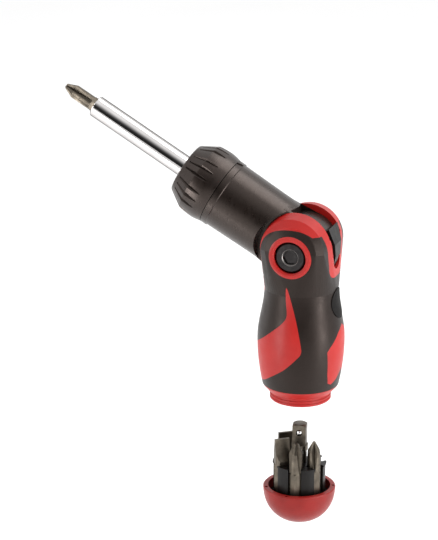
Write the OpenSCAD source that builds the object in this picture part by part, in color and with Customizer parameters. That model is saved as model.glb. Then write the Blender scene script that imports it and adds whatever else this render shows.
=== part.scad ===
// Ratcheting screwdriver with a pivoting barrel and bits stored in its end cap.
// The handle axis is Z. The pivot pin runs along Y. The barrel leans toward -X.
// The origin is on the handle axis, at the widest part of the grip.

/* [Grip] */
// Height of the pivot pin above the widest part of the grip
pivot_h = 43; // [41:0.5:50]
// Swell of the grip over its waist at the widest part
grip_swell = 3.1; // [2.2:0.1:5]
// How far the waist stands out past the fork cheeks
waist_over = 0.8; // [0.5:0.1:1.2]
// Height of the waist above the widest part
waist_rise = 24; // [21:0.5:26]
// Drop from the widest part to the lower end of the soft cover
foot_drop = 22; // [20:0.5:28]
// Radius at the lower end of the soft cover
foot_r = 17.7; // [16.8:0.1:18.4]
// Thickness of the soft cover over the core
cover_t = 1.6; // [1.2:0.1:2]
// Radius of the storage bore in the handle
bore_r = 12.9; // [12.8:0.05:13.1]
// Depth of the storage bore above the foot of the spigot
bore_depth = 35.5; // [33:0.5:36]

/* [Fork] */
// How far the fork cheeks stand out past the hub, front and back
cheek_over = 1; // [0.8:0.1:1.8]
// Half the width over the fork cheeks
face_y = 18.9; // [18:0.1:20]
// Half the width of the fork slot
slot_half = 8.3; // [8.2:0.05:9]
// Radius of the raised ring round the pivot bolt
ring_r = 9.9; // [9:0.1:11]
// Radius of the pivot bolt head
bolt_head_r = 7.4; // [6.5:0.1:7.6]
// Radius of the pivot bolt shank
bolt_r = 3.4; // [3:0.1:4]

/* [Lock] */
// Angle that the thumb slide travels down
slide_travel_angle = 8; // [6:0.5:8]
// Travel of the lock bolt
lock_travel = 2.2; // [2:0.1:2.4]

/* [Barrel] */
// Lean of the barrel from the handle axis
lean_angle = 60; // [0:15:90]
// Radius of the hub between the cheeks
hub_r = 15.2; // [15:0.1:15.3]
// Half the thickness of the hub
hub_half = 8; // [7.4:0.1:8]
// Radius of the barrel beside the fork
barrel_r = 15.6; // [15.4:0.1:16]
// Radius of the barrel ahead of its seam band
barrel_front_r = 16; // [15.9:0.1:16.3]
// Distance from the pivot to the seam between barrel and collar
seam_u = 45; // [44:0.5:50]
// How far the scoop that clears the fork cheeks lies past the hub
scoop_over = 3.8; // [3.6:0.1:4.8]

/* [Ratchet] */
// Number of ratchet teeth
teeth = 36; // [24, 36]
// Radius over the ratchet teeth
gear_r = 7.5; // [7.3:0.1:7.6]
// Length of the ratchet gear
gear_len = 6.7; // [5:0.1:7]
// Turn of the selector collar each way
select_turn_angle = 25; // [20:1:26]

/* [Collar] */
// Greatest radius of the selector collar
collar_r = 17.2; // [16.9:0.1:18]
// Radius of the collar at its front edge
collar_front_r = 11.9; // [11.7:0.1:12.6]
// Length of the selector collar
collar_len = 19; // [18.5:0.5:21]
// Groups of finger grips round the collar
grip_groups = 7; // [4:1:8]

/* [Shaft] */
// Radius of the drive shaft
shaft_r = 5; // [4.8:0.05:5.1]
// Distance from the pivot to the mouth of the shaft
mouth_u = 115.6; // [100:0.1:160]

/* [Bits] */
// Width of a hexagon bit across its flats
hex_af = 6.35; // [6.3:0.01:6.4]
// Length of a bit
bit_len = 25.4; // [24:0.2:26]
// Width of a flat blade
blade_w = 7; // [5:0.1:7.2]
// Thickness of a flat blade at its tip
blade_t = 1.2; // [0.8:0.1:1.6]
// Width of the square drive
square_w = 6.35; // [6:0.05:6.4]
// Height of the square adapter over its pocket floor
adapter_len = 32.4; // [30:0.2:33]

/* [Cap] */
// Drop from the spigot's foot to the rim of the cap when it is off
cap_gap = 43.9; // [40:0.1:60]
// Outer radius of the cap at its rim
cap_r = 17; // [16.8:0.1:17.4]
// Depth of the cap dome
cap_depth = 17.6; // [16.5:0.1:20]
// Radius of the bit carrier
carrier_r = 12.2; // [12:0.05:12.4]
// Radius of the ring on which the bits stand
bit_ring_r = 8.8; // [8.7:0.05:8.9]
// Height of the bit carrier above the rim
carrier_h = 11.8; // [10:0.1:13]

/* [Hidden] */

$fn = 72;
overrun = 40;
fit = 0.05;
gap = 0.3;
quarter_turn = 90;

// Sizes that follow the hub
cheek_x = hub_r + cheek_over;
waist_r = cheek_x + waist_over;
grip_r = waist_r + grip_swell;
scoop_r = hub_r + scoop_over;

// Colours
red = "#D0312F";
black = "#2B2827";
steel = "#B9BBBE";
dark_steel = "#5B564E";
chrome = "#DADADC";
brass = "#C9A45A";

// Grip
grip_steps = 12;
flange_land = 0.6;
flange_drop = 3.1;
spigot_r = 14.2;
spigot_len = 4.1;
spigot_lip = 0.5;
groove_w = 0.7;
groove_t = 0.3;
foot_z = -foot_drop;
spigot_top = foot_z - flange_land - flange_drop;
spigot_end = spigot_top - spigot_len;
bore_top = spigot_end + bore_depth;
// Outline of the front inlay seen from the side, as shares of grip_r
front_inlay_shares = [[-0.09, 1.42], [-0.11, 1.12], [-0.07, 0.77], [-0.15, 0.6], [-0.36, 0.4],
    [-0.92, -0.07], [-1.2, -0.24], [-1.2, -1.1], [-0.76, -0.97], [-0.44, -0.75], [-0.08, -0.49],
    [0.21, -0.2], [0.29, -0.08], [0.29, 0.08], [0.19, 0.53], [0.02, 1.08]];
// Half outline of the back inlay seen from behind, as shares of grip_r
back_inlay_shares = [[0, 0.42], [0.24, 0.27], [0.52, -0.01], [0.59, -0.11], [0.57, -0.3],
    [0.53, -0.66], [0.47, -0.9], [0.37, -0.95], [0.22, -0.87], [0.06, -0.72], [0, -0.63]];

// Fork
arch_lift = 2;
crease_y = 15.5;
crease_in = 1.2;
shoulder_y = 18.2;
shoulder_in = 4.2;
face_in = 8;
panel_in = 1.8;
panel_x = cheek_x - panel_in;
front_panel_in = 1.2;
front_panel_x = cheek_x - front_panel_in;
front_rim_foot = 8;
panel_top_in = 3.4;
panel_top = cheek_x - panel_top_in;
panel_power = 2.3;
panel_steps = 24;
index_pitch_angle = 15;
lean_span_angle = 90;
cavity_r = hub_r + gap;
pivot_z = pivot_h;
arch_z = pivot_z + arch_lift;
cavity_y = slot_half;
window_top = 9;
window_mid = 1;
window_mid_w = 5.2;
window_foot = 3.9;
window_foot_w = 4.6;
front_lip_foot = 20.5;
front_lip_w = 11.5;
back_lip_foot = 11.8;
back_lip_w = 9.7;
lip_top_w = 13.5;
lip_top_z = 10;
lip_round = 6;
ring_seat = 0.45;
ring_bevel = 0.8;
head_seat_y = 16.6;
head_t = 1.7;
head_recess_t = 1.1;
head_recess_r = 3.5;
head_edge = 1.1;
recess_rim = 0.3;
bolt_clear = 0.05;
washer_r = 7;
nut_overlap = 4;

// Spine pad
pad_z = 18.3;
pad_half_h = 7;
pad_half_w = 6.6;
pad_in = 2.4;
pad_out = 0.35;

// Lock
slide_clear = 0.35;
slide_in_r = hub_r + slide_clear;
slide_t = 2.85;
slide_out_r = slide_in_r + slide_t;
slide_top_angle = 38;
slide_foot_angle = 8.5;
slide_foot_t = 1.7;
slide_mid_t = 1.9;
slide_mid_angle = 12;
slide_top_w = 6.8;
slide_foot_w = 4;
leg_t = 1.35;
leg_out_r = slide_in_r + leg_t;
leg_half = 2.6;
leg_foot_angle = 30;
leg_lap_angle = 2;
leg_spare_angle = 2;
tooth_half = 1.1;
tooth_reach = 1.7;
tooth_y = 3.8;
notch_depth = 2;
notch_clear = 0.2;
block_half = 3;
block_y = 4.2;
block_drop = 1.2;
block_top = hub_r + block_drop;
block_len = 8.6;
block_foot = block_top + block_len;
stub_r = 1.3;
stub_len = 3;
arm_y = 2.2;
arm_clear = 0.45;
arm_over = 0.1;
arm_out_r = leg_out_r + arm_over;
arm_gap_angle = 3.5;
arm_top_angle = leg_foot_angle + arm_gap_angle;
spring_r = 2.3;
spring_wire = 0.35;
spring_turns = 6;
spring_len = 8;
spring_foot = block_foot + spring_len;
spring_bore_r = 3.1;

// Barrel
band_len = 3.2;
band_t = 0.4;
chamber_r = 13.9;
chamber_sector_angle = 44;
chamber_back = 30.5;
flange_t = 3;
flange_r = 14.4;
rear_pocket_r = 6;
rear_pocket_back = 22;
mark_len = 2.6;
mark_w = 2.4;
mark_t = 0.45;
plate_t = 6.7;
plate_in_r = hub_r - plate_t;
plate_over_angle = 8;
hub_bush_r = 5;
neck_in = 0.4;
neck_spare_angle = 2;

// Ratchet
gear_in = 12.8;
gear_u = seam_u - gear_in;
tooth_t = 0.9;
gear_root = gear_r - tooth_t;
seat_af = 8.2;
pawl_side = 0.4;
pawl_u = gear_u + pawl_side;
pawl_len = gear_len - 2 * pawl_side;
pawl_in_r = gear_r + gap;
pawl_out_r = 10.6;
pawl_half_angle = 36;
pawl_tip_angle = 30;
pawl_tip_w = 0.3;
pawl_tip_base = 0.6;
pawl_pin_ring = 9.3;
pawl_pin_r = 1.1;
pawl_pin_end = 1.5;
plunger_r = 0.7;
plunger_clear = 0.15;
plunger_tip_r = pawl_out_r + plunger_clear;
plunger_back_r = 12.3;
plunger_stop_r = 13.2;
plunger_u = pawl_u + pawl_len / 2;
plunger_spring_r = 0.45;
plunger_wire = 0.1;
finger_end = 2;
pawl_relief = 0.5;
finger_in_r = 11.6;
finger_out_r = 13.6;
finger_half_angle = 9;
finger_spare = 2;

// Nose
sleeve_r = 9.5;
sleeve_len = 17;
sleeve_end = seam_u + sleeve_len;
sleeve_in_r = 5.6;
front_bush_r = 7.6;
front_bush_in = 6.5;
front_bush_end = 0.5;
front_bush_back = seam_u + front_bush_in;
front_bush_front = sleeve_end - front_bush_end;
screw_ring = 11.6;
screw_r = 1.2;
screw_head_r = 2.1;
screw_head_t = 1.2;
screw_len = 8;
screw_angles = [110, 180, 250];
retainer_in = 2;
retainer_u = sleeve_end - retainer_in;
retainer_t = 1;
retainer_r = 11;
retainer_groove_r = 8.9;
retainer_open_angle = 50;

// Collar
collar_back = seam_u + gap;
collar_front = seam_u + collar_len + gap;
shoulder_u = 11.3;
rear_shoulder_u = 5.2;
shoulder_drop = 0.5;
collar_back_r = barrel_front_r + band_t;
key_w = 3;
key_t = 0.5;
cam_r = 14.8;
cam_in_r = 10;
cam_t = 2;
cam_clear = 0.25;
cam_back = collar_back + cam_clear;
cover_back_u = sleeve_end + gap;
cover_r = 11.1;
cover_in = 0.4;
shaft_clear = 0.4;
grooves_each = 3;
groove_step_angle = 14;
groove_deep = 0.9;
groove_front_len = 7;
groove_back_len = 6.5;
groove_fade_angle = 5;
grip_first_angle = -1;

// Shaft
journal_r = 4;
journal_in = 0.6;
journal_end = rear_pocket_back + journal_in;
shaft_step = 0.25;
bearing_r = shaft_r - shaft_step;
step_out = 0.9;
step_u = collar_front + step_out;
rear_bush_r = 5.95;
rear_bush_in = 0.9;
rear_bush_back = rear_pocket_back + rear_bush_in;
rear_bush_end = 0.4;
rear_bush_front = chamber_back - rear_bush_end;
clip_t = 0.8;
clip_r = 5.3;
clip_groove_r = 3.55;
clip_u = gear_u - clip_t;
socket_depth = 8.8;
socket_clear = 0.1;
magnet_r = 3;
magnet_t = 3;
mouth_edge = 0.4;
washer_t = 0.6;

// Bits
hex_r = hex_af / 2 / cos(30);
neck_r = 3.2;
hex_share = 0.4;
blade_share = 0.53;
point_share = 0.81;
blade_round = 0.25;
tip_r = 1.15;
flute_in = 0.55;
flute_lean_angle = 9;
point_r = 0.5;
scoop_blade_r = 22;
bit_edge = 0.5;
square_share = 0.32;
shoulder_len_share = 0.08;
shoulder_r = 3.9;
square_corner_r = 4.55;
ball_r = 1.35;
ball_drop = 4;
ball_proud = 0.45;
ball_hole_r = 1.45;
ball_spring_len = 1.4;
ball_spring_r = 0.7;
ball_wire = 0.15;
ball_travel = 0.4;
ball_hole_from = square_w / 2 + ball_proud - 2 * ball_r - ball_spring_len - ball_travel - fit;
adapter_turn_angle = -80;

// Cap
rim_z = spigot_end - cap_gap;
rim_t = 2.4;
rim_round = 0.5;
dome_power = 2.2;
dome_steps = 20;
cap_well = 6.2;
carrier_base = 1.4;
base_flange_t = 2;
base_flange_r = 13.9;
notch_angles = [-150, -95, 15, 60];
notch_w = 1.5;
notch_t = 0.7;
pocket_clear = 0.12;
opening_w = 6.2;
lip_h = 0.8;
nib_r = 12.6;
first_bit_angle = -83.7;
bit_step_angle = 60;
bit_count = 6;
cap_screw_r = 1.5;
cap_screw_head_r = 2.6;
cap_screw_head_t = 1.4;
cap_screw_len = 6;
bit_floor = rim_z - carrier_base;
cap_closed_rim = spigot_top - gap;
cap_travel = cap_closed_rim - rim_z;

echo(cap_travel = cap_travel, rim_z = rim_z, bore_top = bore_top, spigot_end = spigot_end);

// A smooth closed or open run of points through the control points
function mix(a, b, t) = a * (1 - t) + b * t;
function curve(p0, p1, p2, p3, t) = 0.5 * (2 * p1 + (p2 - p0) * t
    + (2 * p0 - 5 * p1 + 4 * p2 - p3) * t * t + (3 * p1 - p0 - 3 * p2 + p3) * t * t * t);
function smooth_loop(p, n) = [for (i = [0 : len(p) - 1], k = [0 : n - 1])
    curve(p[(i + len(p) - 1) % len(p)], p[i], p[(i + 1) % len(p)], p[(i + 2) % len(p)], k / n)];
function wave(t) = (1 - cos(180 * max(0, min(1, t)))) / 2;
function grip_radius(z) = z < 0 ? grip_r - (grip_r - foot_r) * pow(z / foot_drop, 2)
    : grip_r - (grip_r - waist_r) * wave(z / waist_rise);
function rim_points(inset) = [[0, cheek_x - inset], [slot_half, cheek_x - inset],
    [crease_y - inset / 2, cheek_x - crease_in - inset],
    [shoulder_y - inset, cheek_x - shoulder_in - inset / 2],
    [face_y - inset, cheek_x - face_in], [face_y - inset, 0]];
function at_angle(r, a) = [r * cos(a), r * sin(a)];
function arc(r, a0, a1, n) = [for (i = [0 : n]) at_angle(r, a0 + (a1 - a0) * i / n)];

// Turns a shape drawn in XY, extruded along Z, so that it lies in XZ and runs along Y
module along_y(half) {
    rotate([90, 0, 0]) linear_extrude(height = 2 * half, center = true) children();
}

// A revolved shape whose axis is Y: the profile gives radius in x and distance along Y in y
module spin_y() {
    rotate([-90, 0, 0]) rotate_extrude() children();
}

// Places a piece of the barrel, drawn with its axis on Z and the pivot at the origin
module barrel_place() {
    translate([0, 0, pivot_z]) rotate([0, -lean_angle, 0]) children();
}

// A wedge of a given half angle about the X axis, between two heights
module sector(half_angle, from, to) {
    side = overrun * tan(half_angle);
    translate([0, 0, from]) linear_extrude(height = to - from)
        polygon([[0, 0], [overrun, -side], [overrun, side]]);
}

module tube(r_out, r_in, from, to) {
    translate([0, 0, from]) difference() {
        cylinder(r = r_out, h = to - from);
        translate([0, 0, -overrun]) cylinder(r = r_in, h = to - from + 2 * overrun);
    }
}

// Outer form of the handle over its foot, drawn in by an inset
module grip_form(inset) {
    rotate_extrude() polygon(concat([[0, foot_z]],
        [for (i = [0 : grip_steps]) let (z = foot_z * (1 - i / grip_steps)) [grip_radius(z) - inset, z]],
        [for (i = [1 : grip_steps]) let (z = waist_rise * i / grip_steps) [grip_radius(z) - inset, z]],
        [[0, waist_rise]]));
    fork_form(inset);
}

module fork_form(inset) {
    rim = rim_points(inset);
    side = [for (p = rim) [p[1], p[0]]];
    hull() {
        translate([0, 0, waist_rise]) cylinder(r = waist_r - inset, h = fit, $fn = 64);
        translate([0, 0, arch_z - fit]) linear_extrude(height = fit) polygon(concat(side,
            [for (i = [len(side) - 2 : -1 : 1]) [-side[i][0], side[i][1]]],
            [for (p = side) [-p[0], -p[1]]],
            [for (i = [len(side) - 2 : -1 : 1]) [side[i][0], -side[i][1]]]));
    }
    translate([0, 0, arch_z]) intersection() {
        spin_y() polygon(concat(side, [for (i = [len(side) - 1 : -1 : 1]) [side[i][0], -side[i][1]]]));
        translate([-overrun, -overrun, 0]) cube([2 * overrun, 2 * overrun, overrun]);
    }
}

// Space between the cheeks for the hub and for the barrel's neck from upright to square
module hub_space() {
    translate([0, 0, pivot_z]) along_y(cavity_y) union() {
        circle(r = cavity_r, $fn = 96);
        translate([-cavity_r, 0]) square([2 * cavity_r, overrun]);
        translate([-overrun, -barrel_r - gap]) square([overrun, overrun]);
    }
}

// Clears the back rim of the barrel when it stands square to the handle
module barrel_relief() {
    translate([0, 0, pivot_z]) difference() {
        rotate([0, -90, 0]) cylinder(r = barrel_r + gap, h = overrun);
        along_y(overrun) circle(r = scoop_r - gap, $fn = 96);
    }
}

function half_outline(right) = concat(right,
    [for (i = [len(right) - 1 : -1 : 0]) [-right[i][0], right[i][1]]]);

// Opening in the spine where the thumb slide runs
module spine_window() {
    translate([0, 0, pivot_z]) rotate([90, 0, 90]) linear_extrude(height = overrun) {
        polygon(half_outline([[window_foot_w, -window_foot], [window_mid_w, -window_mid],
            [slot_half, window_top], [slot_half, overrun]]));
        translate([0, -window_foot]) circle(r = window_foot_w);
    }
}

// Region, seen along X, in which the rim of the core shows round the slot
module lip_region(foot, foot_w, top_z) {
    polygon(half_outline(concat([[0, -foot]],
        [for (p = arc(lip_round, -90, 0, 6)) [foot_w - lip_round + p[0], lip_round - foot + p[1]]],
        [[lip_top_w, top_z], [overrun, top_z], [overrun, overrun]])));
}

// Where the core comes to the surface: rim of the arch, lips, pivot rings, inlays and foot
module core_zones() {
    difference() {
        translate([0, 0, pivot_z]) rotate([90, 0, 90]) {
            linear_extrude(height = overrun) lip_region(back_lip_foot, back_lip_w, lip_top_z);
            translate([0, 0, -overrun]) linear_extrude(height = overrun)
                lip_region(front_lip_foot, front_lip_w, -front_rim_foot);
        }
        translate([0, 0, pivot_z]) along_y(overrun) polygon(concat(
            [[panel_x, -overrun]],
            [for (i = [0 : panel_steps]) let (a = 180 * i / panel_steps, c = cos(a),
                edge_x = c < 0 ? -front_panel_x : panel_x)
                [edge_x * pow(abs(c), 2 / panel_power), panel_top * pow(sin(a), 2 / panel_power)]],
            [[-front_panel_x, -overrun]]));
    }
    translate([0, 0, pivot_z]) spin_y() translate([0, -overrun]) square([ring_r, 2 * overrun]);
    along_y(overrun) polygon(smooth_loop(front_inlay_shares * grip_r, 3));
    rotate([90, 0, 90]) linear_extrude(height = overrun) {
        polygon(half_outline(back_inlay_shares * grip_r));
    }
}

// Everything that is hollow in the handle
module handle_hollows() {
    hub_space();
    barrel_relief();
    spine_window();
    lock_space();
    translate([0, 0, pivot_z]) spin_y() {
        translate([0, -overrun]) square([bolt_r + bolt_clear, 2 * overrun]);
    }
    translate([0, 0, pivot_z]) both_cheeks() spin_y()
        translate([0, head_seat_y]) square([bolt_head_r + fit, overrun - head_seat_y]);
    translate([0, 0, spigot_end - overrun]) cylinder(r = bore_r, h = bore_depth + overrun);
    pad_seat(0);
}

// Oval seat in the spine, or the pad that fills it when it is drawn in by a clearance
module pad_seat(clear) {
    translate([grip_radius(pad_z) - pad_in, 0, pad_z]) rotate([90, 0, 90]) linear_extrude(height = overrun)
        oval(pad_half_w - clear, pad_half_h - clear);
}

module oval(a, b) {
    polygon([for (i = [0 : 35]) [a * cos(10 * i), b * sin(10 * i)]]);
}

module lock_space() {
    reach_r = arm_out_r + gap;
    translate([0, 0, pivot_z]) {
        translate([-block_half - gap, -block_y - gap, -block_foot - lock_travel - gap])
            cube([2 * (block_half + gap), 2 * (block_y + gap), block_foot + lock_travel]);
        translate([0, 0, -spring_foot]) cylinder(r = spring_bore_r, h = spring_foot - block_top);
        along_y(arm_y + gap) polygon(concat(
            [[0, 0], [reach_r * cos(leg_foot_angle), -reach_r * sin(leg_foot_angle)]],
            [for (p = arc(reach_r, -leg_foot_angle, -quarter_turn, 12)) [p[0], p[1] - lock_travel]]));
        along_y(leg_half + gap)
            polygon(concat([[0, 0]],
                arc(leg_out_r + gap, -leg_foot_angle - slide_travel_angle - leg_spare_angle, 0, 8)));
    }
}

module handle_foot() {
    neck = foot_r - cover_t - 2 * fit;
    rotate_extrude() polygon([[0, foot_z + fit], [neck, foot_z + fit], [neck, foot_z], [foot_r, foot_z],
        [foot_r - flange_land / 2, foot_z - flange_land], [spigot_r + spigot_lip, spigot_top],
        [spigot_r, spigot_top], [spigot_r, spigot_top - groove_w],
        [spigot_r - groove_t, spigot_top - groove_w - fit],
        [spigot_r - groove_t, spigot_top - 2 * groove_w], [spigot_r, spigot_top - 2 * groove_w - fit],
        [spigot_r, spigot_top - 3 * groove_w], [spigot_r - groove_t, spigot_top - 3 * groove_w - fit],
        [spigot_r - groove_t, spigot_top - 4 * groove_w], [spigot_r, spigot_top - 4 * groove_w - fit],
        [spigot_r, spigot_end + spigot_lip], [spigot_r - spigot_lip, spigot_end], [0, spigot_end]]);
}

// Draws a shape at the near cheek and again at the far cheek
module both_cheeks() {
    children();
    mirror([0, 1, 0]) children();
}

// Raised bevelled ring round each end of the pivot bolt
module pivot_rings() {
    translate([0, 0, pivot_z]) both_cheeks() spin_y() polygon([
        [bolt_r + bolt_clear, slot_half], [ring_r, slot_half], [ring_r, face_y - ring_seat],
        [ring_r - ring_bevel, face_y + fit], [bolt_head_r + ring_bevel + fit, face_y + fit],
        [bolt_head_r + fit, face_y - ring_seat], [bolt_head_r + fit, head_seat_y],
        [bolt_r + bolt_clear, head_seat_y]]);
}

module handle_core() {
    color(red) {
        difference() {
            union() {
                grip_form(cover_t + fit);
                intersection() {
                    grip_form(0);
                    core_zones();
                }
                handle_foot();
            }
            handle_hollows();
        }
        pivot_rings();
    }
}

module grip_cover() {
    color(black) difference() {
        grip_form(0);
        grip_form(cover_t);
        core_zones();
        handle_hollows();
    }
}

module spine_pad() {
    reach = pad_half_h + pad_in;
    color(black) intersection() {
        pad_seat(fit);
        rotate_extrude($fn = 240) polygon(concat([[0, pad_z - reach]],
            [for (i = [0 : grip_steps]) let (z = pad_z - reach + 2 * reach * i / grip_steps)
                [grip_radius(z) + pad_out, z]],
            [[0, pad_z + reach]]));
    }
}

// Far end of the pivot bolt: a bevelled head with a rimmed hexagon recess
module bolt_head() {
    top = head_seat_y + head_t;
    difference() {
        spin_y() polygon([[0, head_seat_y], [bolt_head_r, head_seat_y], [bolt_head_r, top - head_edge],
            [bolt_head_r - head_edge, top], [0, top]]);
        translate([0, top - head_recess_t, 0]) rotate([-90, 0, 0])
            cylinder(r = head_recess_r, h = overrun, $fn = 6);
        spin_y() polygon([[0, top - recess_rim], [head_recess_r, top - recess_rim],
            [head_recess_r + recess_rim, top], [head_recess_r + recess_rim, top + fit], [0, top + fit]]);
    }
}

module pivot_bolt() {
    color(black) translate([0, 0, pivot_z]) {
        mirror([0, 1, 0]) bolt_head();
        spin_y() translate([0, -head_seat_y]) square([bolt_r, 2 * head_seat_y - nut_overlap]);
    }
}

module pivot_nut() {
    color(black) translate([0, 0, pivot_z]) {
        bolt_head();
        spin_y() translate([0, head_seat_y - nut_overlap]) square([bolt_r, nut_overlap]);
    }
}

module pivot_washers() {
    color(steel) translate([0, 0, pivot_z]) both_cheeks() spin_y()
        translate([bolt_r + bolt_clear, hub_half + fit])
            square([washer_r - bolt_r, slot_half - hub_half - 2 * fit]);
}

module lock_slide() {
    color(black) translate([0, 0, pivot_z]) {
        intersection() {
            along_y(overrun) polygon(concat([at_angle(slide_in_r + slide_foot_t, -slide_foot_angle),
                at_angle(slide_in_r + slide_mid_t, slide_mid_angle), at_angle(slide_out_r, slide_top_angle)],
                arc(slide_in_r, slide_top_angle, -slide_foot_angle, 16)));
            rotate([90, 0, 90]) linear_extrude(height = overrun) polygon(half_outline([
                [slide_foot_w, -slide_out_r * sin(slide_foot_angle) - fit], [slide_foot_w, -window_mid],
                [slide_top_w, slide_out_r * sin(slide_top_angle) + fit]]));
        }
        along_y(leg_half) polygon(concat(arc(leg_out_r, -leg_foot_angle, leg_lap_angle - slide_foot_angle, 8),
            arc(slide_in_r, leg_lap_angle - slide_foot_angle, -leg_foot_angle, 8)));
    }
}

module lock_bolt() {
    color(steel) translate([0, 0, pivot_z]) {
        translate([-tooth_half, -tooth_y, -block_top])
            cube([2 * tooth_half, 2 * tooth_y, block_top - hub_r + tooth_reach]);
        translate([-block_half, -block_y, -block_foot])
            cube([2 * block_half, 2 * block_y, block_foot - block_top]);
        translate([0, 0, -block_foot - stub_len]) cylinder(r = stub_r, h = stub_len);
        along_y(arm_y) polygon(concat(arc(arm_out_r, -arm_top_angle, -quarter_turn, 12),
            arc(hub_r + arm_clear, -quarter_turn, -arm_top_angle, 12)));
    }
}

// A coil of round wire as one closed surface
module coil(r, wire, length, turns) {
    sides = 6;
    steps = turns * 8;
    points = [for (i = [0 : steps], k = [0 : sides - 1])
        let (a = 360 * turns * i / steps, b = 360 * k / sides, out = r + wire * cos(b))
            [out * cos(a), out * sin(a), wire + (length - 2 * wire) * i / steps + wire * sin(b)]];
    faces = concat([[for (k = [sides - 1 : -1 : 0]) k]],
        [for (i = [0 : steps - 1], k = [0 : sides - 1], half = [0, 1])
            let (a = i * sides + k, b = i * sides + (k + 1) % sides)
                half == 0 ? [a, b, b + sides] : [a, b + sides, a + sides]],
        [[for (k = [0 : sides - 1]) steps * sides + k]]);
    polyhedron(points = points, faces = faces, convexity = 10);
}

module lock_spring() {
    color(steel) translate([0, 0, pivot_z - spring_foot])
        coil(spring_r, spring_wire, spring_foot - block_foot, spring_turns);
}

// Barrel
module barrel_housing() {
    color(black) barrel_place() difference() {
        union() {
            along_y(hub_half) circle(r = hub_r, $fn = 96);
            intersection() {
                hull() {
                    translate([-hub_r, -hub_half, 0]) cube([2 * hub_r, 2 * hub_half, fit]);
                    translate([0, 0, scoop_r]) cylinder(r = barrel_r - neck_in, h = fit);
                }
                translate([-overrun, -hub_half, 0]) cube([2 * overrun, 2 * hub_half, overrun]);
            }
            difference() {
                rotate_extrude() polygon([[0, 0], [barrel_r, 0], [barrel_r, scoop_r],
                    [barrel_front_r, seam_u - band_len], [collar_back_r, seam_u - band_len + band_t],
                    [collar_back_r, seam_u], [0, seam_u]]);
                rotate([90, 0, 0]) cylinder(r = scoop_r, h = 2 * overrun, center = true, $fn = 96);
            }
            translate([barrel_front_r, 0, seam_u - band_len]) rotate([0, 90, 0])
                linear_extrude(height = band_t + mark_t)
                    polygon([[-band_len, mark_w / 2], [-band_len, -mark_w / 2], [mark_len - band_len, 0]]);
        }
        translate([0, 0, chamber_back]) cylinder(r = gear_r + 2 * gap, h = overrun);
        intersection() {
            translate([0, 0, chamber_back]) cylinder(r = chamber_r, h = overrun);
            sector(chamber_sector_angle, chamber_back, seam_u);
        }
        translate([0, 0, seam_u - flange_t]) cylinder(r = flange_r + fit, h = overrun);
        translate([0, 0, rear_pocket_back]) cylinder(r = rear_pocket_r, h = overrun);
        spin_y() translate([0, -overrun]) square([hub_bush_r + fit, 2 * overrun]);
        plate_form(fit);
        slide_groove();
        for (a = screw_angles) rotate([0, 0, a])
            translate([screw_ring, 0, seam_u - screw_head_t - screw_len - fit])
                cylinder(r = screw_r + fit, h = overrun);
        translate([pawl_pin_ring, 0, chamber_back - pawl_pin_end - fit])
            cylinder(r = pawl_pin_r + fit, h = overrun);
    }
}

// Groove in the barrel's neck that clears the thumb slide when the barrel stands upright
module slide_groove() {
    neck_angle = slide_top_angle + neck_spare_angle;
    along_y(slide_top_w + gap)
        polygon(concat(arc(hub_r, 0, neck_angle, 12), arc(scoop_r, neck_angle, 0, 12)));
}

// Toothed steel segment let into the hub, opposite the lock bolt at every lean
module plate_form(clear) {
    from = -quarter_turn - lean_span_angle - plate_over_angle;
    to = plate_over_angle - quarter_turn;
    along_y(tooth_y + notch_clear + clear) polygon(concat(
        arc(plate_in_r - clear, from - clear, to + clear, 20),
        arc(hub_r + clear, to + clear, from - clear, 20)));
}

module index_plate() {
    color(steel) barrel_place() difference() {
        plate_form(0);
        for (k = [0 : lean_span_angle / index_pitch_angle]) rotate([0, 90 + k * index_pitch_angle, 0])
            translate([hub_r - notch_depth, -overrun, -tooth_half - notch_clear])
                cube([overrun, 2 * overrun, 2 * (tooth_half + notch_clear)]);
    }
}

module hub_bush() {
    color(brass) translate([0, 0, pivot_z]) spin_y() translate([bolt_r + bolt_clear, -hub_half])
        square([hub_bush_r - bolt_r - bolt_clear, 2 * hub_half]);
}

module rear_bush() {
    color(brass) barrel_place() tube(rear_bush_r, journal_r + fit, rear_bush_back, rear_bush_front);
}

// Nose sleeve: screwed to the housing, it carries the collar outside and the front bush inside
module nose_sleeve() {
    color(black) barrel_place() difference() {
        union() {
            translate([0, 0, seam_u - flange_t]) cylinder(r = flange_r, h = flange_t);
            translate([0, 0, seam_u - fit]) cylinder(r = sleeve_r, h = sleeve_end - seam_u + fit);
        }
        translate([0, 0, -overrun]) cylinder(r = sleeve_in_r, h = 4 * overrun);
        translate([0, 0, front_bush_back]) cylinder(r = front_bush_r, h = overrun);
        tube(overrun, retainer_groove_r, retainer_u - fit, retainer_u + retainer_t + fit);
        intersection() {
            tube(chamber_r, finger_in_r - gap, seam_u - overrun, seam_u + fit);
            sector(select_turn_angle + finger_half_angle + finger_spare, seam_u - overrun, seam_u + fit);
        }
        for (a = screw_angles) rotate([0, 0, a]) translate([screw_ring, 0, seam_u]) {
            translate([0, 0, -overrun]) cylinder(r = screw_r + fit, h = 2 * overrun);
            translate([0, 0, -screw_head_t]) cylinder(r = screw_head_r + fit, h = overrun);
        }
        translate([pawl_pin_ring, 0, seam_u - flange_t - fit])
            cylinder(r = pawl_pin_r + fit, h = pawl_pin_end + 2 * fit);
    }
}

module nose_screws() {
    color(steel) barrel_place() for (a = screw_angles) rotate([0, 0, a])
        translate([screw_ring, 0, seam_u - screw_head_t]) {
            difference() {
                cylinder(r = screw_head_r, h = screw_head_t);
                translate([0, 0, screw_head_t / 2]) cylinder(r = screw_r, h = overrun, $fn = 6);
            }
            translate([0, 0, -screw_len]) cylinder(r = screw_r, h = screw_len);
        }
}

module front_bush() {
    color(brass) barrel_place() tube(front_bush_r - fit, bearing_r + fit, front_bush_back, front_bush_front);
}

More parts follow.
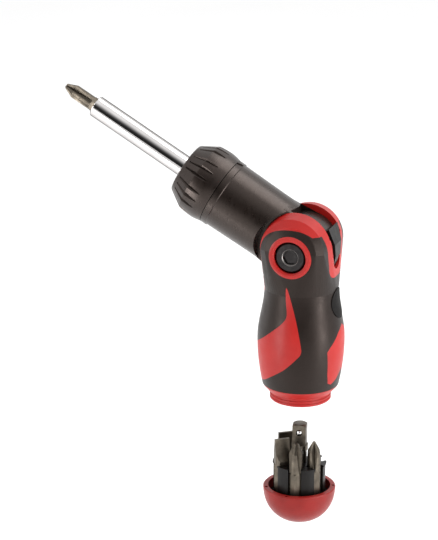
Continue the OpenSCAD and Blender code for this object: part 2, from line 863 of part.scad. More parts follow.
// Rocker pawl: tilting it on its pin drops one tooth or the other into the gear
module rocker_pawl() {
    color(dark_steel) barrel_place() translate([0, 0, pawl_u]) difference() {
        linear_extrude(height = pawl_len) {
            polygon(concat(arc(pawl_in_r + pawl_relief, -pawl_half_angle, pawl_half_angle, 12),
                arc(pawl_out_r, pawl_half_angle, -pawl_half_angle, 12)));
            for (s = [-1, 1]) rotate(s * pawl_tip_angle)
                polygon([[pawl_in_r, -pawl_tip_w / 2], [pawl_in_r, pawl_tip_w / 2],
                    [pawl_in_r + 2 * pawl_relief, pawl_tip_base],
                    [pawl_in_r + 2 * pawl_relief, -pawl_tip_base]]);
        }
        translate([pawl_pin_ring, 0, -overrun]) cylinder(r = pawl_pin_r + fit, h = 2 * overrun);
    }
}

module pawl_pin() {
    color(steel) barrel_place() translate([pawl_pin_ring, 0, chamber_back - pawl_pin_end])
        cylinder(r = pawl_pin_r, h = seam_u - flange_t - chamber_back + 2 * pawl_pin_end);
}

// A snap ring: a flat ring with a gap in it
module snap_ring(r_out, r_in, from, thick) {
    difference() {
        tube(r_out, r_in, from, from + thick);
        rotate([0, 0, 180]) sector(retainer_open_angle / 2, from - fit, from + thick + fit);
    }
}

module collar_retainer() {
    color(steel) barrel_place() snap_ring(retainer_r, retainer_groove_r + fit, retainer_u, retainer_t);
}

// Selector collar
module collar_form() {
    rotate_extrude() polygon(concat(
        [[sleeve_r, collar_back]],
        [for (i = [0 : 6]) let (t = i / 6)
            [mix(collar_back_r, collar_r, sin(90 * t)), collar_back + rear_shoulder_u * t]],
        [for (i = [1 : 5]) let (t = i / 5)
            [collar_r - shoulder_drop * pow(t, 2), collar_back + mix(rear_shoulder_u, shoulder_u, t)]],
        [[collar_front_r + mouth_edge, collar_front - mouth_edge], [collar_front_r, collar_front],
            [sleeve_r, collar_front]]));
}

// One finger groove: a V cut, deepest at the shoulder, that fades out forward and back
module finger_groove() {
    w = groove_deep * sqrt(2);
    front_slope = atan((collar_r - shoulder_drop - collar_front_r) / (collar_len - shoulder_u));
    back_slope = atan(shoulder_drop / (shoulder_u - rear_shoulder_u));
    translate([collar_r - shoulder_drop, 0, collar_back + shoulder_u]) {
        rotate([0, groove_fade_angle - front_slope, 0]) rotate([0, 0, 45])
            translate([-w / 2, -w / 2, -fit]) cube([w, w, groove_front_len]);
        rotate([180, -back_slope - groove_fade_angle, 0]) rotate([0, 0, 45])
            translate([-w / 2, -w / 2, -fit]) cube([w, w, groove_back_len]);
    }
}

module selector_collar() {
    color(black) barrel_place() difference() {
        collar_form();
        translate([0, 0, collar_back - fit])
            cylinder(r = cam_r + fit, h = cam_back + cam_t + 2 * fit - collar_back);
        translate([0, 0, -overrun]) cylinder(r = sleeve_r + 2 * fit, h = 4 * overrun);
        translate([0, 0, retainer_u - gap + fit]) cylinder(r = cover_r + fit, h = overrun);
        cam_keys(fit);
        for (g = [0 : grip_groups - 1], k = [0 : grooves_each - 1])
            rotate([0, 0, grip_first_angle + 360 * g / grip_groups])
                rotate([0, 0, groove_step_angle * (k - (grooves_each - 1) / 2)]) finger_groove();
    }
}

module collar_cover() {
    color(black) barrel_place() tube(cover_r, shaft_r + shaft_clear, cover_back_u, collar_front - cover_in);
}

module cam_keys(clear) {
    for (a = [90, 210, 330]) rotate([0, 0, a]) translate([0, -key_w / 2 - clear, cam_back - 6 * clear])
        cube([cam_r + key_t + clear, key_w + 2 * clear, cam_t + 7 * clear]);
}

// Ring keyed in the collar; its finger reaches back over the pawl and holds the plunger
module cam_ring() {
    color(dark_steel) barrel_place() difference() {
        union() {
            translate([0, 0, cam_back]) cylinder(r = cam_r, h = cam_t);
            cam_keys(0);
            intersection() {
                tube(finger_out_r, finger_in_r, plunger_u - finger_end, cam_back + fit);
                sector(finger_half_angle, plunger_u - finger_end, cam_back + fit);
            }
        }
        translate([0, 0, cam_back - fit]) cylinder(r = cam_in_r, h = cam_t + 2 * fit);
        translate([0, 0, plunger_u]) rotate([0, 90, 0]) cylinder(r = plunger_r + fit, h = plunger_stop_r);
    }
}

module selector_plunger() {
    color(steel) barrel_place() translate([0, 0, plunger_u]) rotate([0, 90, 0]) {
        translate([0, 0, plunger_tip_r + plunger_r]) sphere(r = plunger_r);
        translate([0, 0, plunger_tip_r + plunger_r])
            cylinder(r = plunger_r, h = plunger_back_r - plunger_tip_r - plunger_r);
    }
}

module plunger_spring() {
    color(steel) barrel_place() translate([plunger_back_r, 0, plunger_u]) rotate([0, 90, 0])
        coil(plunger_spring_r, plunger_wire, plunger_stop_r - plunger_back_r, 3);
}

// Drive shaft with a hexagon seat for the gear and a hexagon socket for the bit
module drive_shaft() {
    color(chrome) barrel_place() difference() {
        union() {
            translate([0, 0, journal_end]) cylinder(r = journal_r, h = clip_u - journal_end);
            translate([0, 0, clip_u - fit]) cylinder(r = clip_groove_r, h = clip_t + 2 * fit);
            translate([0, 0, gear_u]) cylinder(r = seat_af / 2 / cos(30), h = gear_len, $fn = 6);
            rotate_extrude() polygon([[0, gear_u + gear_len], [bearing_r, gear_u + gear_len],
                [bearing_r, step_u], [shaft_r, step_u], [shaft_r, mouth_u - mouth_edge],
                [shaft_r - mouth_edge, mouth_u], [0, mouth_u]]);
        }
        translate([0, 0, mouth_u - socket_depth]) cylinder(r = hex_r + socket_clear, h = overrun, $fn = 6);
        translate([0, 0, mouth_u - socket_depth - magnet_t]) cylinder(r = magnet_r + fit, h = overrun);
    }
}

module ratchet_gear() {
    pitch = 360 / teeth;
    land = pitch / 8;
    color(dark_steel) barrel_place() translate([0, 0, gear_u]) difference() {
        linear_extrude(height = gear_len - fit) polygon([for (i = [0 : teeth - 1],
            p = [[-land, gear_root], [land, gear_root],
                [pitch / 2 - land, gear_r], [pitch / 2 + land, gear_r]])
                    p[1] * [cos(i * pitch + p[0]), sin(i * pitch + p[0])]]);
        translate([0, 0, -overrun]) cylinder(r = seat_af / 2 / cos(30) + fit, h = 2 * overrun, $fn = 6);
    }
}

module shaft_circlip() {
    color(steel) barrel_place() snap_ring(clip_r, clip_groove_r + fit, clip_u + fit, clip_t - 2 * fit);
}

module thrust_washer() {
    color(brass) barrel_place() tube(gear_r - gap, journal_r + fit, clip_u - washer_t - fit, clip_u - fit);
}

module socket_magnet() {
    color(steel) barrel_place() translate([0, 0, mouth_u - socket_depth - magnet_t])
        cylinder(r = magnet_r, h = magnet_t);
}

// Bits stand on Z with their hexagon end at 0
module bit_shank(share) {
    shank_end = share * bit_len + 2 * (hex_r - neck_r);
    intersection() {
        cylinder(r = hex_r, h = shank_end, $fn = 6);
        rotate_extrude() polygon([[0, 0], [hex_r - bit_edge, 0], [hex_r, bit_edge],
            [hex_r, share * bit_len], [neck_r, shank_end], [0, shank_end]]);
    }
}

// Crossed tip: four V flutes that deepen toward the point
module cross_tip(end_r) {
    difference() {
        rotate_extrude() polygon([[0, hex_share * bit_len], [neck_r, hex_share * bit_len],
            [neck_r, point_share * bit_len], [end_r, bit_len], [0, bit_len]]);
        for (k = [0 : 3]) rotate([0, 0, 45 + 90 * k]) translate([flute_in, 0, bit_len])
            rotate([0, -flute_lean_angle, 0]) rotate([0, 0, -45]) translate([0, 0, -overrun / 2])
                cube([overrun, overrun, overrun]);
    }
}

module cross_bit() {
    bit_shank(hex_share);
    cross_tip(tip_r);
}

module point_bit() {
    bit_shank(hex_share);
    cross_tip(point_r);
}

// Flat blade: a wide neck hollow ground from both sides
module flat_bit() {
    blade_from = blade_share * bit_len;
    bit_shank(blade_share);
    difference() {
        intersection() {
            translate([-blade_w / 2, -hex_af / 2, blade_from])
                cube([blade_w, hex_af, bit_len - blade_from]);
            translate([0, 0, blade_from]) cylinder(r = blade_w / 2 + blade_round, h = overrun);
        }
        for (s = [-1, 1]) translate([-overrun, s * (blade_t / 2 + scoop_blade_r), bit_len])
            rotate([0, 90, 0]) cylinder(r = scoop_blade_r, h = 2 * overrun);
    }
}

module driver_bit() {
    color(dark_steel) barrel_place() translate([0, 0, mouth_u - socket_depth + fit]) cross_bit();
}

// Cap
function dome(d, r, depth) = r * pow(max(0, 1 - pow(d / depth, dome_power)), 1 / dome_power);

module cap_shell() {
    color(red) translate([0, 0, rim_z]) difference() {
        rotate_extrude() polygon(concat([[0, 0], [cap_r - rim_round, 0]],
            [for (i = [0 : dome_steps]) let (d = mix(rim_round, cap_depth, sin(90 * i / dome_steps)))
                [dome(d, cap_r, cap_depth), -d]]));
        translate([0, 0, -cap_well]) cylinder(r = cap_r - rim_t, h = overrun);
        translate([0, 0, -cap_well - cap_screw_len]) cylinder(r = cap_screw_r + fit, h = overrun);
        for (a = notch_angles) rotate([0, 0, a]) translate([cap_r - rim_t / 2, 0, -notch_t])
            cylinder(r = notch_w / 2, h = overrun);
    }
}

// Places a piece at pocket k of the carrier, on the pocket floor
module at_pocket(k) {
    rotate([0, 0, first_bit_angle + bit_step_angle * k]) translate([bit_ring_r, 0, bit_floor]) children();
}

module bit_carrier() {
    color(black) difference() {
        translate([0, 0, rim_z]) {
            translate([0, 0, -cap_well]) cylinder(r = carrier_r, h = cap_well + carrier_h);
            translate([0, 0, -cap_well]) cylinder(r = base_flange_r, h = base_flange_t);
            translate([0, 0, carrier_h - lip_h]) cylinder(r = nib_r, h = lip_h);
        }
        for (k = [0 : bit_count - 1]) at_pocket(k) {
            cylinder(r = hex_r + pocket_clear, h = overrun, $fn = 6);
            translate([0, -opening_w / 2, 0]) cube([overrun, opening_w, overrun]);
        }
        translate([0, 0, bit_floor]) rotate([0, 0, adapter_turn_angle])
            cylinder(r = hex_r + pocket_clear, h = overrun, $fn = 6);
        translate([0, 0, bit_floor - overrun]) cylinder(r = cap_screw_r + fit, h = 2 * overrun);
        translate([0, 0, bit_floor - cap_screw_head_t - fit])
            cylinder(r = cap_screw_head_r + fit, h = overrun);
    }
}

module carrier_screw() {
    shank_foot = rim_z - cap_well - cap_screw_len + fit;
    color(steel) {
        translate([0, 0, shank_foot])
            cylinder(r = cap_screw_r, h = bit_floor - cap_screw_head_t - shank_foot);
        translate([0, 0, bit_floor - cap_screw_head_t]) difference() {
            cylinder(r = cap_screw_head_r, h = cap_screw_head_t - fit);
            translate([0, 0, cap_screw_head_t / 2]) cylinder(r = cap_screw_r, h = overrun, $fn = 6);
        }
    }
}

module stored_cross_bit() {
    color(dark_steel) at_pocket(0) cross_bit();
}

module stored_point_bit() {
    color(dark_steel) at_pocket(1) point_bit();
}

module stored_flat_bit_a() {
    color(dark_steel) at_pocket(5) flat_bit();
}

module stored_flat_bit_b() {
    color(dark_steel) at_pocket(4) rotate([0, 0, 60]) flat_bit();
}

// Adapter from the hexagon socket to a square drive with a spring ball
module square_adapter() {
    square_from = adapter_len * (1 - square_share);
    shoulder_len = adapter_len * shoulder_len_share;
    color(dark_steel) translate([0, 0, bit_floor]) rotate([0, 0, adapter_turn_angle]) difference() {
        union() {
            cylinder(r = hex_r, h = square_from, $fn = 6);
            translate([0, 0, square_from - shoulder_len]) cylinder(r = shoulder_r, h = shoulder_len);
            intersection() {
                rotate([0, 0, 45]) translate([0, 0, square_from - bit_edge])
                    cylinder(r = square_w / sqrt(2), h = adapter_len - square_from + bit_edge, $fn = 4);
                rotate_extrude() polygon([[0, square_from - bit_edge], [shoulder_r, square_from - bit_edge],
                    [square_corner_r, square_from], [square_corner_r, adapter_len - 2 * bit_edge],
                    [shoulder_r - 2 * bit_edge, adapter_len], [0, adapter_len]]);
            }
        }
        translate([0, 0, adapter_len - ball_drop]) rotate([0, 90, 0])
            translate([0, 0, ball_hole_from]) cylinder(r = ball_hole_r, h = overrun);
    }
}

module ball_place() {
    translate([0, 0, bit_floor + adapter_len - ball_drop]) rotate([0, 0, adapter_turn_angle])
        rotate([0, 90, 0]) children();
}

module adapter_ball() {
    color(chrome) ball_place() translate([0, 0, square_w / 2 + ball_proud - ball_r]) sphere(r = ball_r);
}

module ball_spring() {
    color(steel) ball_place() translate([0, 0, square_w / 2 - 2 * ball_r + ball_proud - ball_spring_len])
        coil(ball_spring_r, ball_wire, ball_spring_len, 3);
}

handle_core();
grip_cover();
spine_pad();
pivot_bolt();
pivot_nut();
pivot_washers();
lock_slide();
lock_bolt();
lock_spring();
barrel_housing();
index_plate();
hub_bush();
rear_bush();
nose_sleeve();
nose_screws();
front_bush();
rocker_pawl();
pawl_pin();
collar_retainer();
selector_collar();
collar_cover();
cam_ring();
selector_plunger();
plunger_spring();
drive_shaft();
ratchet_gear();
shaft_circlip();
thrust_washer();
socket_magnet();
driver_bit();
cap_shell();
bit_carrier();
carrier_screw();
stored_cross_bit();
stored_point_bit();
stored_flat_bit_a();
stored_flat_bit_b();
square_adapter();
adapter_ball();
ball_spring();
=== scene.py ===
import math

import bpy
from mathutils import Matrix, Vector

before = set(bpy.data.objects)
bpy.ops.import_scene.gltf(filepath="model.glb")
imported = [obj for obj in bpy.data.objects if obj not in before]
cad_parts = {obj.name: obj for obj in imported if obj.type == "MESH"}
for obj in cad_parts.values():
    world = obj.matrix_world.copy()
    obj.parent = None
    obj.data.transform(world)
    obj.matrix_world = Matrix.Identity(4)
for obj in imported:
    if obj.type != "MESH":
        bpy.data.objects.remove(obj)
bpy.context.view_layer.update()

LEAN = math.radians(60)
PIVOT = Vector((0, 0, 0.043))

# The photograph's view: a long lens, with the pivot to the right of the middle and above it
AZIMUTH = math.radians(17)
ELEVATION = math.radians(17)
DISTANCE = 1.0
FRAME_HEIGHT = 540
FOCAL_PIXELS = 2200
PIVOT_RIGHT = 82.8
PIVOT_UP = 24.3
SENSOR = 36
CLIP_START = 0.05
CLIP_END = 50


def make_camera():
    flat = math.cos(ELEVATION)
    back = Vector((math.sin(AZIMUTH) * flat, -math.cos(AZIMUTH) * flat, math.sin(ELEVATION)))
    right = Vector((math.cos(AZIMUTH), math.sin(AZIMUTH), 0))
    up = back.cross(right)
    lens = bpy.data.cameras.new("camera")
    lens.sensor_width = SENSOR
    lens.lens = SENSOR * FOCAL_PIXELS / FRAME_HEIGHT
    lens.clip_start = CLIP_START
    lens.clip_end = CLIP_END
    camera = bpy.data.objects.new("camera", lens)
    bpy.context.scene.collection.objects.link(camera)
    camera.location = PIVOT + back * DISTANCE
    aim = PIVOT - (right * PIVOT_RIGHT + up * PIVOT_UP) * DISTANCE / FOCAL_PIXELS
    camera.rotation_mode = "QUATERNION"
    camera.rotation_quaternion = (aim - camera.location).to_track_quat("-Z", "Y")
    bpy.context.scene.camera = camera


def srgb(code):
    """A hex colour as linear red, green, blue and alpha."""
    parts = [int(code[i : i + 2], 16) / 255 for i in (0, 2, 4)]
    return tuple(c / 12.92 if c <= 0.04045 else ((c + 0.055) / 1.055) ** 2.4 for c in parts) + (1.0,)


def add(tree, kind, sockets=None, **settings):
    """Adds a shader node. A socket takes a number, a colour or another node's output."""
    node = tree.nodes.new("ShaderNode" + kind)
    stops = settings.pop("stops", None)
    for key, value in settings.items():
        setattr(node, key, value)
    if stops:
        ramp = node.color_ramp.elements
        ramp.remove(ramp[1])
        ramp[0].position, ramp[0].color = stops[0][0], srgb(stops[0][1])
        for place, code in stops[1:]:
            ramp.new(place).color = srgb(code)
    for key, value in (sockets or {}).items():
        if isinstance(value, bpy.types.NodeSocket):
            tree.links.new(value, node.inputs[key])
        else:
            node.inputs[key].default_value = value
    return node.outputs[0]


def finish(name, ior=1.5, metallic=0.0, **more):
    """A new material with its shader set, then its tree, its shader and the place on the object."""
    material = bpy.data.materials.new(name)
    material.use_nodes = True
    tree = material.node_tree
    shader = tree.nodes["Principled BSDF"]
    shader.inputs["IOR"].default_value = ior
    shader.inputs["Metallic"].default_value = metallic
    for key, value in more.items():
        shader.inputs[key.replace("_", " ")].default_value = value
    coordinates = tree.nodes.new("ShaderNodeTexCoord")
    return material, tree, shader, coordinates.outputs["Object"]


def wear(tree, shader, colour, roughness, normal):
    """Puts the pattern sockets on the shader."""
    tree.links.new(colour, shader.inputs["Base Color"])
    tree.links.new(roughness, shader.inputs["Roughness"])
    tree.links.new(normal, shader.inputs["Normal"])


MM = 0.001
# Noise seldom leaves this span
NOISE_SPAN = {"From Min": 0.3, "From Max": 0.7}


def cells(size_mm):
    """The noise scale whose features are this wide."""
    return 1000 / size_mm


def red_abs():
    # Injection moulded ABS: clean satin red, a slow flow mottle and a fine mould texture
    material, tree, shader, place = finish("red_moulded_abs", 1.5, Specular_IOR_Level=0.3)
    flow = add(tree, "TexNoise", {"Vector": place, "Scale": cells(14), "Detail": 3.0})
    rub = add(tree, "TexNoise", {"Vector": place, "Scale": cells(4), "Detail": 5.0})
    grain = add(tree, "TexNoise", {"Vector": place, "Scale": cells(0.35), "Detail": 2.0})
    colour = add(tree, "ValToRGB", {"Fac": flow}, stops=[(0.3, "9C1713"), (0.7, "A71C17")])
    rough = add(tree, "MapRange", {"Value": rub, **NOISE_SPAN, "To Min": 0.36, "To Max": 0.46})
    normal = add(tree, "Bump", {"Height": grain, "Strength": 0.6, "Distance": 0.01 * MM})
    wear(tree, shader, colour, rough, normal)
    return material


def crimson_pp():
    # Moulded polypropylene: darker crimson, waxy gloss, faint upright draw lines
    material, tree, shader, place = finish("crimson_moulded_polypropylene", 1.49, Specular_IOR_Level=0.25)
    flow = add(tree, "TexNoise", {"Vector": place, "Scale": cells(9), "Detail": 4.0})
    stretched = add(tree, "Mapping", {"Vector": place, "Scale": (1, 1, 0.06)})
    lines = add(tree, "TexNoise", {"Vector": stretched, "Scale": cells(0.9), "Detail": 2.0})
    colour = add(tree, "ValToRGB", {"Fac": flow}, stops=[(0.3, "751410"), (0.7, "871B17")])
    rough = add(tree, "MapRange", {"Value": lines, **NOISE_SPAN, "To Min": 0.3, "To Max": 0.44})
    normal = add(tree, "Bump", {"Height": lines, "Strength": 0.5, "Distance": 0.06 * MM})
    wear(tree, shader, colour, rough, normal)
    return material


# Carbon filled plastics throw the light back slightly warm
WARM_BLOOM = srgb("FFEAE0")


def black_tpe():
    # Overmoulded thermoplastic elastomer: soft dark grey, a spark eroded texture that scatters the light
    material, tree, shader, place = finish(
        "black_overmoulded_elastomer", 1.5, Specular_Tint=WARM_BLOOM, Specular_IOR_Level=0.28
    )
    dust = add(tree, "TexNoise", {"Vector": place, "Scale": cells(11), "Detail": 5.0})
    handled = add(tree, "TexNoise", {"Vector": place, "Scale": cells(5), "Detail": 4.0})
    pits = add(tree, "TexNoise", {"Vector": place, "Scale": cells(0.3), "Detail": 3.0, "Roughness": 0.7})
    colour = add(tree, "ValToRGB", {"Fac": dust}, stops=[(0.3, "120D0B"), (0.7, "181210")])
    rough = add(tree, "MapRange", {"Value": handled, **NOISE_SPAN, "To Min": 0.34, "To Max": 0.44})
    normal = add(tree, "Bump", {"Height": pits, "Strength": 0.8, "Distance": 0.03 * MM})
    wear(tree, shader, colour, rough, normal)
    return material


def black_nylon():
    # Glass filled nylon: deep black satin with short fibre streaks in the gloss
    material, tree, shader, place = finish("black_glass_filled_nylon", 1.53, Specular_Tint=WARM_BLOOM)
    local = add(tree, "Mapping", {"Vector": place, "Rotation": (0, LEAN, 0), "Scale": (1, 1, 0.3)})
    streaks = add(tree, "TexNoise", {"Vector": local, "Scale": cells(1.2), "Detail": 4.0})
    tone = add(tree, "TexNoise", {"Vector": place, "Scale": cells(16), "Detail": 2.0})
    grain = add(tree, "TexNoise", {"Vector": place, "Scale": cells(0.3), "Detail": 2.0})
    colour = add(tree, "ValToRGB", {"Fac": tone}, stops=[(0.3, "110C0A"), (0.7, "17110E")])
    rough = add(tree, "MapRange", {"Value": streaks, **NOISE_SPAN, "To Min": 0.26, "To Max": 0.34})
    normal = add(tree, "Bump", {"Height": grain, "Strength": 0.6, "Distance": 0.015 * MM})
    wear(tree, shader, colour, rough, normal)
    return material


def black_acetal():
    # Moulded acetal: slippery near black with a low even sheen, a little duller where it is handled
    material, tree, shader, place = finish("black_moulded_acetal", 1.48, Specular_IOR_Level=0.2)
    tone = add(tree, "TexNoise", {"Vector": place, "Scale": cells(8), "Detail": 3.0})
    rub = add(tree, "TexNoise", {"Vector": place, "Scale": cells(2.5), "Detail": 5.0})
    grain = add(tree, "TexNoise", {"Vector": place, "Scale": cells(0.4), "Detail": 2.0})
    colour = add(tree, "ValToRGB", {"Fac": tone}, stops=[(0.3, "0B0908"), (0.7, "110E0C")])
    rough = add(tree, "MapRange", {"Value": rub, **NOISE_SPAN, "To Min": 0.3, "To Max": 0.42})
    normal = add(tree, "Bump", {"Height": grain, "Strength": 0.5, "Distance": 0.01 * MM})
    wear(tree, shader, colour, rough, normal)
    return material


def black_pad_rubber():
    # Cast rubber pad: darker and duller than the cover round it, with a dusty pebble texture
    material, tree, shader, place = finish("black_cast_rubber", 1.5, Specular_IOR_Level=0.12)
    dust = add(tree, "TexNoise", {"Vector": place, "Scale": cells(4), "Detail": 5.0})
    pebbles = add(tree, "TexVoronoi", {"Vector": place, "Scale": cells(0.5)})
    colour = add(tree, "ValToRGB", {"Fac": dust}, stops=[(0.3, "090706"), (0.7, "0F0C0B")])
    rough = add(tree, "MapRange", {"Value": dust, **NOISE_SPAN, "To Min": 0.5, "To Max": 0.62})
    normal = add(tree, "Bump", {"Height": pebbles, "Strength": 0.6, "Distance": 0.03 * MM})
    wear(tree, shader, colour, rough, normal)
    return material


# The bolt's turned head, and the edge round the recess, rubbed bare by its key and painted lighter as a
# highlight
HEAD_RADIUS = 8 * MM
HEAD_RINGS = 40.0
RUBBED_HIGHLIGHT_RADIUS = 3.7 * MM
RUBBED_HIGHLIGHT_WIDTH = 0.2 * MM


def black_oxide():
    # Black oxide on a machined screw: near black metal, turned rings and a rubbed edge round the recess
    # painted light as a highlight
    material, tree, shader, place = finish("black_oxide_steel", metallic=1.0)
    flat = add(tree, "Mapping", {"Vector": place, "Location": (0, 0, -PIVOT.z), "Scale": (1, 0, 1)})
    radius = add(tree, "VectorMath", {0: flat}, operation="LENGTH")
    radius = radius.node.outputs["Value"]
    rings = add(tree, "MapRange", {"Value": radius, "From Max": HEAD_RADIUS, "To Max": HEAD_RINGS})
    turned = add(tree, "TexNoise", {"W": rings, "Scale": 1.0, "Detail": 2.0}, noise_dimensions="1D")
    stain = add(tree, "TexNoise", {"Vector": place, "Scale": cells(3), "Detail": 4.0})
    # A light band round the recess edge: rubbed bare metal with a painted highlight
    rim_highlight = add(tree, "Math", {0: radius, 1: RUBBED_HIGHLIGHT_RADIUS, 2: RUBBED_HIGHLIGHT_WIDTH}, operation="COMPARE")
    stain_and_rim_highlight = add(tree, "Math", {0: rim_highlight, 1: stain}, operation="ADD")
    colour = add(tree, "ValToRGB", {"Fac": stain_and_rim_highlight}, stops=[(0.3, "2A2828"), (0.7, "373535"), (1.0, "6E6A68")])
    rough = add(tree, "MapRange", {"Value": turned, **NOISE_SPAN, "To Min": 0.28, "To Max": 0.42})
    normal = add(tree, "Bump", {"Height": turned, "Strength": 0.5, "Distance": 0.02 * MM})
    wear(tree, shader, colour, rough, normal)
    return material


# Painted shade: a near black edge tint darkens the chrome close to its outline
CHROME_PAINTED_EDGE_SHADE = srgb("0A0A0A")


def chrome_plate():
    # Bright chrome over ground steel: mirror gloss with hair thin grinding lines along the shaft, and
    # painted shade along its outline
    material, tree, shader, place = finish("bright_chrome_plate", metallic=1.0, Specular_Tint=CHROME_PAINTED_EDGE_SHADE)
    along = add(tree, "Mapping", {"Vector": place, "Rotation": (0, LEAN, 0), "Scale": (1, 1, 0.02)})
    ground = add(tree, "TexNoise", {"Vector": along, "Scale": cells(0.5), "Detail": 3.0})
    haze = add(tree, "TexNoise", {"Vector": place, "Scale": cells(7), "Detail": 3.0})
    colour = add(tree, "ValToRGB", {"Fac": haze}, stops=[(0.3, "D2CFCE"), (0.7, "DEDBDA")])
    rough = add(tree, "MapRange", {"Value": ground, **NOISE_SPAN, "To Min": 0.05, "To Max": 0.1})
    normal = add(tree, "Bump", {"Height": ground, "Strength": 0.3, "Distance": 0.004 * MM})
    wear(tree, shader, colour, rough, normal)
    return material


def phosphated_steel():
    # Phosphated tool steel: warm gunmetal with a dull crystal coat, rubbed brighter in patches
    material, tree, shader, place = finish("phosphated_tool_steel", metallic=1.0)
    rubbed = add(tree, "TexNoise", {"Vector": place, "Scale": cells(3.5), "Detail": 5.0})
    crystals = add(tree, "TexNoise", {"Vector": place, "Scale": cells(0.4), "Detail": 3.0})
    colour = add(tree, "ValToRGB", {"Fac": rubbed}, stops=[(0.3, "514B43"), (0.7, "6E665B")])
    rough = add(tree, "MapRange", {"Value": rubbed, **NOISE_SPAN, "To Min": 0.46, "To Max": 0.32})
    normal = add(tree, "Bump", {"Height": crystals, "Strength": 0.6, "Distance": 0.015 * MM})
    wear(tree, shader, colour, rough, normal)
    return material


def hardened_steel():
    # Oil hardened steel: dark grey, cloudy temper film
    material, tree, shader, place = finish("oil_hardened_steel", metallic=1.0)
    film = add(tree, "TexNoise", {"Vector": place, "Scale": cells(2.5), "Detail": 5.0})
    grain = add(tree, "TexNoise", {"Vector": place, "Scale": cells(0.3), "Detail": 2.0})
    colour = add(tree, "ValToRGB", {"Fac": film}, stops=[(0.3, "454342"), (0.7, "5A5755")])
    rough = add(tree, "MapRange", {"Value": film, **NOISE_SPAN, "To Min": 0.3, "To Max": 0.45})
    normal = add(tree, "Bump", {"Height": grain, "Strength": 0.5, "Distance": 0.01 * MM})
    wear(tree, shader, colour, rough, normal)
    return material


def ground_steel():
    # Ground and drawn steel of springs, pins and screws: pale grey with fine scratches
    material, tree, shader, place = finish("ground_spring_steel", metallic=1.0)
    stretched = add(tree, "Mapping", {"Vector": place, "Scale": (1, 0.1, 1)})
    scratches = add(tree, "TexNoise", {"Vector": stretched, "Scale": cells(0.3), "Detail": 4.0})
    tone = add(tree, "TexNoise", {"Vector": place, "Scale": cells(4), "Detail": 2.0})
    colour = add(tree, "ValToRGB", {"Fac": tone}, stops=[(0.3, "A2A3A5"), (0.7, "B8B9BB")])
    rough = add(tree, "MapRange", {"Value": scratches, **NOISE_SPAN, "To Min": 0.22, "To Max": 0.36})
    normal = add(tree, "Bump", {"Height": scratches, "Strength": 0.4, "Distance": 0.008 * MM})
    wear(tree, shader, colour, rough, normal)
    return material


def sintered_bronze():
    # Oil filled sintered bronze: warm dull yellow with open pores
    material, tree, shader, place = finish("sintered_bronze", metallic=1.0)
    pores = add(tree, "TexVoronoi", {"Vector": place, "Scale": cells(0.35)})
    tone = add(tree, "TexNoise", {"Vector": place, "Scale": cells(3), "Detail": 3.0})
    colour = add(tree, "ValToRGB", {"Fac": tone}, stops=[(0.3, "9C743A"), (0.7, "B48A4C")])
    rough = add(tree, "MapRange", {"Value": tone, **NOISE_SPAN, "To Min": 0.34, "To Max": 0.46})
    normal = add(tree, "Bump", {"Height": pores, "Strength": 0.4, "Distance": 0.01 * MM})
    wear(tree, shader, colour, rough, normal)
    return material


FINISHES = {
    red_abs: ["handle_core"],
    crimson_pp: ["cap_shell"],
    black_tpe: ["grip_cover"],
    black_pad_rubber: ["spine_pad"],
    black_nylon: ["barrel_housing", "nose_sleeve", "selector_collar", "collar_cover"],
    black_acetal: ["lock_slide", "bit_carrier"],
    black_oxide: ["pivot_bolt", "pivot_nut"],
    chrome_plate: ["drive_shaft", "adapter_ball"],
    phosphated_steel: [
        "driver_bit",
        "stored_cross_bit",
        "stored_point_bit",
        "stored_flat_bit_a",
        "stored_flat_bit_b",
        "square_adapter",
    ],
    hardened_steel: ["rocker_pawl", "cam_ring", "ratchet_gear", "socket_magnet"],
    ground_steel: [
        "pivot_washers",
        "lock_bolt",
        "lock_spring",
        "index_plate",
        "nose_screws",
        "pawl_pin",
        "collar_retainer",
        "selector_plunger",
        "plunger_spring",
        "shaft_circlip",
        "carrier_screw",
        "ball_spring",
    ],
    sintered_bronze: ["hub_bush", "rear_bush", "front_bush", "thrust_washer"],
}


def dress_nodes():
    for make, nodes in FINISHES.items():
        material = make()
        for name in nodes:
            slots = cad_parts[name].data.materials
            slots.clear()
            slots.append(material)


FLOOR_Z = -0.16
FLOOR_SIZE = 30
# The room is dark behind the camera and bright behind the object, told by the Y of a direction
DARK_Y = -0.97
BRIGHT_Y = -0.4
DARK_GLOW = 0.02
BRIGHT_GLOW = 1.1
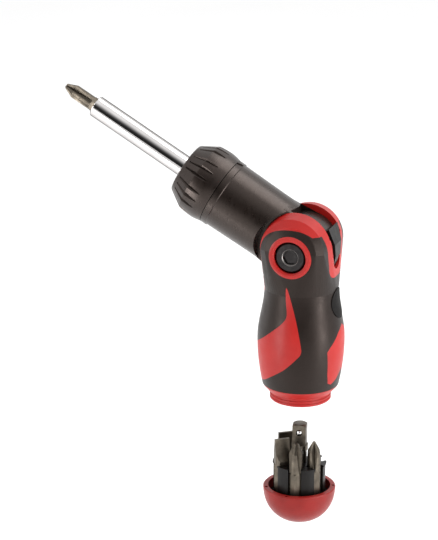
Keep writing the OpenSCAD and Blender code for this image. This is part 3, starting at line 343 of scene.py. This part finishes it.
# Softboxes: name, place, aim, width and height in metres, power in watts
SOFTBOXES = [
    ("left_strip", (-0.31, -0.37, 0.02), (0, 0, 0.02), (0.1, 0.36), 1.1),
    ("right_strip", (0.46, -0.13, 0.02), (0, 0, 0.02), (0.1, 0.36), 1.6),
    ("left", (-1.1, 0.1, 0.35), (0, 0, 0), (0.3, 1.0), 2),
    ("top", (0.6, 0.35, 1.05), (-0.04, 0, 0.06), (0.9, 0.9), 9),
]


def make_studio():
    # Matt white paper under and behind the object
    bpy.ops.mesh.primitive_plane_add(size=FLOOR_SIZE, location=(0, 0, FLOOR_Z))
    floor = bpy.context.object
    floor.name = "floor"
    material, tree, shader, place = finish("white_studio_paper")
    tone = add(tree, "TexNoise", {"Vector": place, "Scale": cells(330), "Detail": 2.0})
    fibre = add(tree, "TexNoise", {"Vector": place, "Scale": cells(2), "Detail": 2.0})
    colour = add(tree, "ValToRGB", {"Fac": tone}, stops=[(0.3, "F5F5F5"), (0.7, "F8F8F8")])
    rough = add(tree, "MapRange", {"Value": fibre, "To Min": 0.85, "To Max": 0.95})
    normal = add(tree, "Bump", {"Height": fibre, "Strength": 0.1, "Distance": 0.05 * MM})
    wear(tree, shader, colour, rough, normal)
    floor.data.materials.append(material)

    world = bpy.data.worlds.new("studio")
    world.use_nodes = True
    background = world.node_tree.nodes["Background"]
    background.inputs["Color"].default_value = (1, 1, 1, 1)
    direction = world.node_tree.nodes.new("ShaderNodeTexCoord").outputs["Generated"]
    split = add(world.node_tree, "SeparateXYZ", {"Vector": direction})
    glow = add(
        world.node_tree,
        "MapRange",
        {
            "Value": split.node.outputs["Y"],
            "From Min": DARK_Y,
            "From Max": BRIGHT_Y,
            "To Min": DARK_GLOW,
            "To Max": BRIGHT_GLOW,
        },
        interpolation_type="SMOOTHSTEP",
    )
    world.node_tree.links.new(glow, background.inputs["Strength"])
    bpy.context.scene.world = world

    for name, place, aim, size, power in SOFTBOXES:
        light = bpy.data.lights.new(name, "AREA")
        light.shape = "RECTANGLE"
        light.size, light.size_y = size
        light.energy = power
        lamp = bpy.data.objects.new(name, light)
        bpy.context.scene.collection.objects.link(lamp)
        lamp.location = place
        lamp.rotation_mode = "QUATERNION"
        lamp.rotation_quaternion = (Vector(aim) - Vector(place)).to_track_quat("-Z", "Y")
    bpy.context.scene.view_settings.view_transform = "Standard"


make_camera()
dress_nodes()
make_studio()
